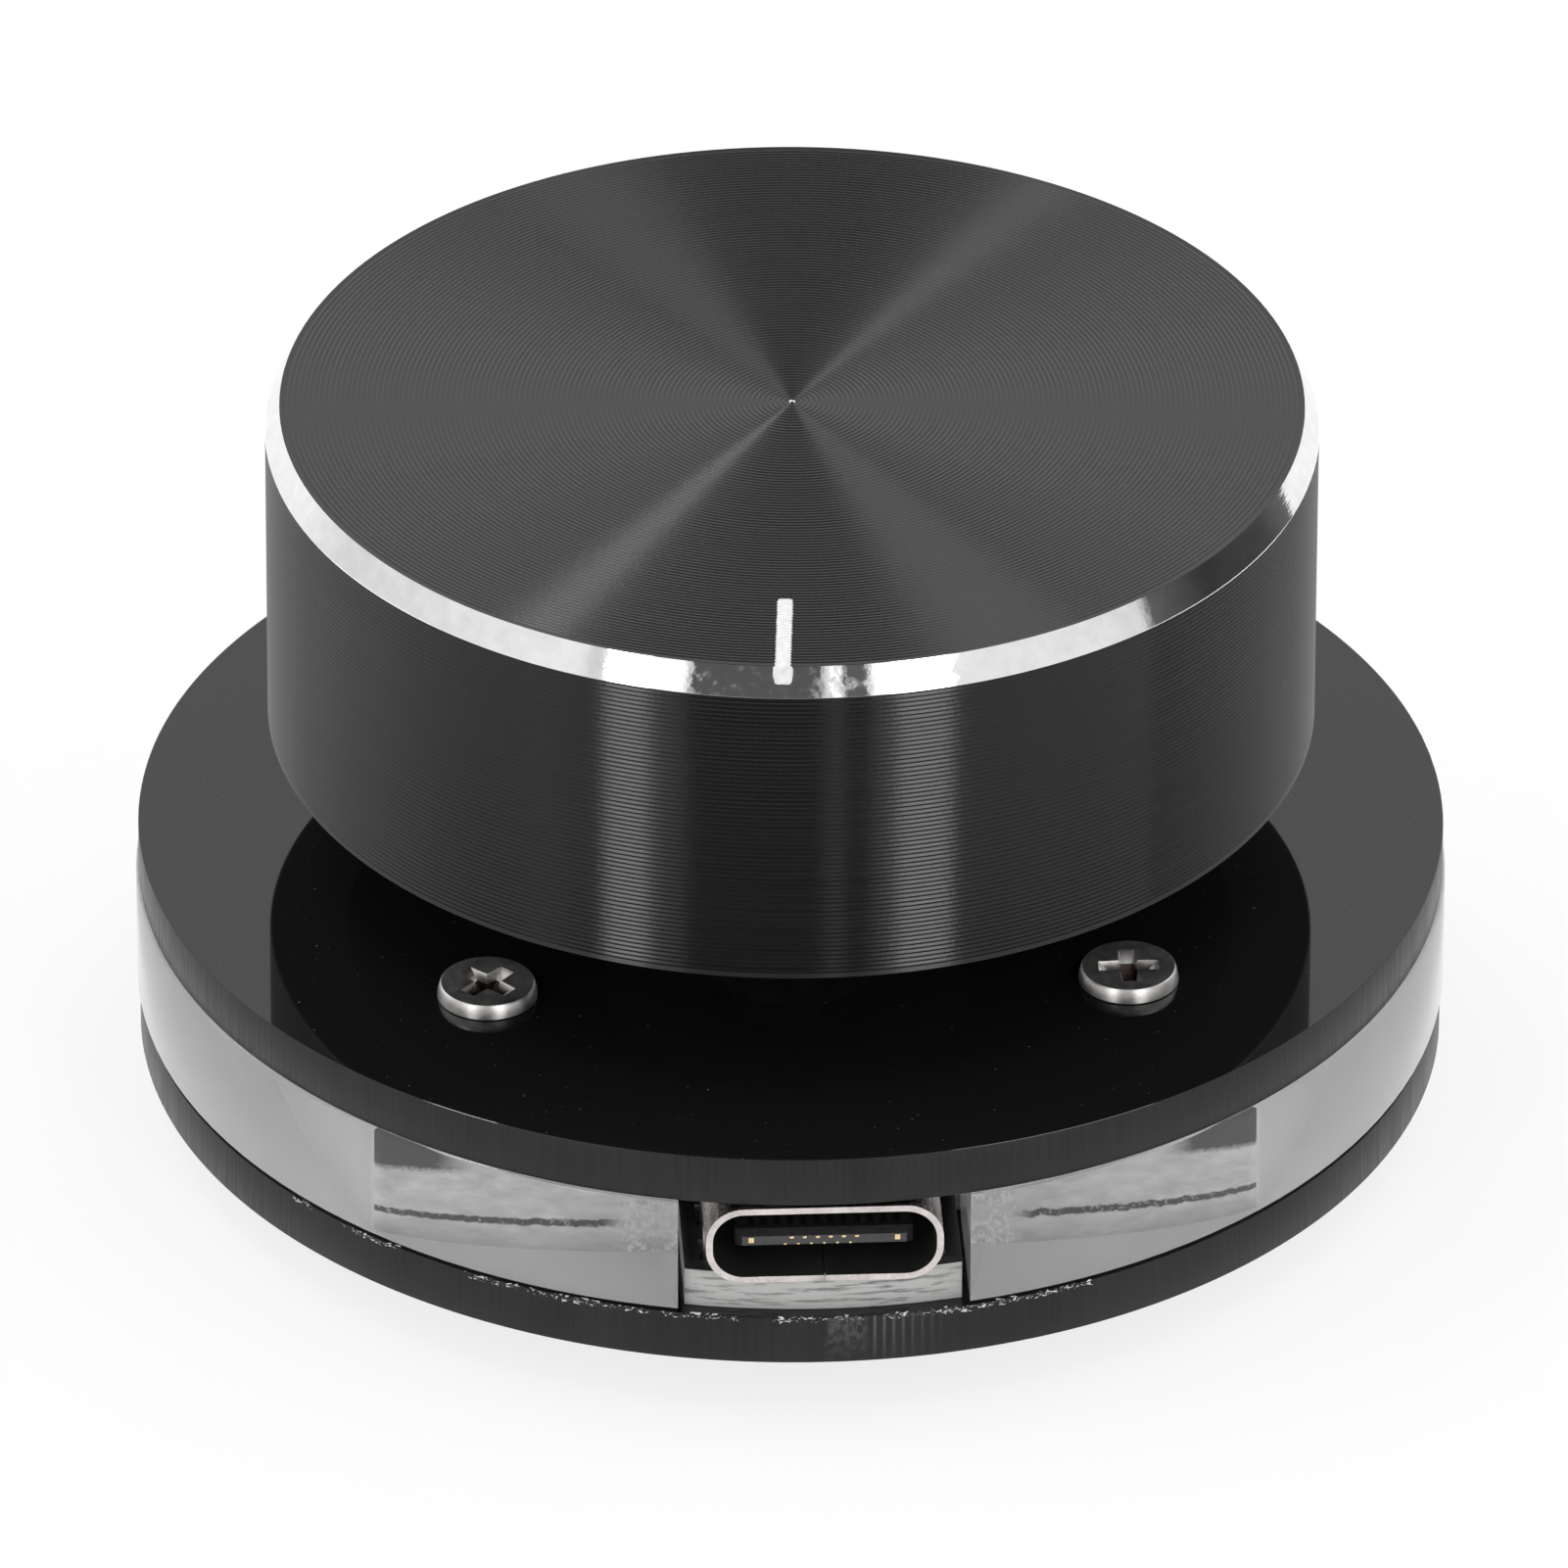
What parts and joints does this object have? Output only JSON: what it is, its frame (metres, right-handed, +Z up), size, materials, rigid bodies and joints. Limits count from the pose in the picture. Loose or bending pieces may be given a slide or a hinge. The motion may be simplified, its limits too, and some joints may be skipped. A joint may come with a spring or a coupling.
{
  "type": "usb volume knob",
  "caption": "Round desk knob of spun black aluminium that turns and presses, on a low disc base with glossy plates, a clear ring and a USB-C socket.",
  "frame": {"origin": "on the knob's turning axis, at the underside of the rubber feet", "axes": "+Z up along the turning axis; -Y out of the cable socket"},
  "size_m": [0.0502, 0.0501, 0.0292],
  "materials": {
    "foot_rubber": "matt",
    "black_acrylic": "polished",
    "clear_acrylic": "clear",
    "screw_steel": "satin",
    "standoff_brass": "satin",
    "board_laminate": "satin",
    "socket_steel": "polished",
    "socket_insulator": "satin",
    "contact_gold": "polished",
    "chip_resin": "matt",
    "lead_tin": "satin",
    "capacitor_ceramic": "satin",
    "resistor_film": "satin",
    "light_case": "satin",
    "encoder_resin": "satin",
    "bushing_zinc": "satin",
    "bracket_steel": "satin",
    "spring_steel": "polished",
    "rotor_resin": "satin",
    "shaft_metal": "satin",
    "knob_aluminium": "spun and anodised",
    "pointer_paint": "matt",
    "set_screw_steel": "black oxide"
  },
  "bodies": {
    "base": {"rubber_feet": "foot_rubber", "bottom_plate": "black_acrylic", "clear_ring": "clear_acrylic", "top_plate": "black_acrylic", "top_screws": "screw_steel", "bottom_screws": "screw_steel", "standoffs": "standoff_brass", "circuit_board": "board_laminate", "usb_shell": "socket_steel", "usb_tongue": "socket_insulator", "usb_contacts": "contact_gold", "controller_chip": "chip_resin", "controller_leads": "lead_tin", "chip_capacitors": "capacitor_ceramic", "chip_resistors": "resistor_film", "ring_lights": "light_case", "encoder_base": "encoder_resin", "encoder_housing": "encoder_resin", "encoder_bushing": "bushing_zinc", "encoder_bracket": "bracket_steel", "encoder_terminals": "lead_tin", "detent_spring": "spring_steel", "contact_wipers": "spring_steel", "switch_dome": "spring_steel"},
    "rotor": {"encoder_rotor": "rotor_resin"},
    "knob": {"knob_body": "knob_aluminium", "pointer_mark": "pointer_paint", "knob_set_screw": "set_screw_steel", "encoder_shaft": "shaft_metal", "shaft_clip": "spring_steel"}
  },
  "joints": [
    {"name": "knob_turn", "type": "hinge", "parent": "base", "child": "rotor", "pos_m": [0, 0, 0.0087], "axis": [0, 0, 1], "continuous": true},
    {"name": "knob_press", "type": "slide", "parent": "rotor", "child": "knob", "axis": [0, 0, -1], "range_m": [0, 0.0005], "stiffness_N_per_m": 8000, "springref_m": -0.0003, "deforming": ["switch_dome"]}
  ]
}
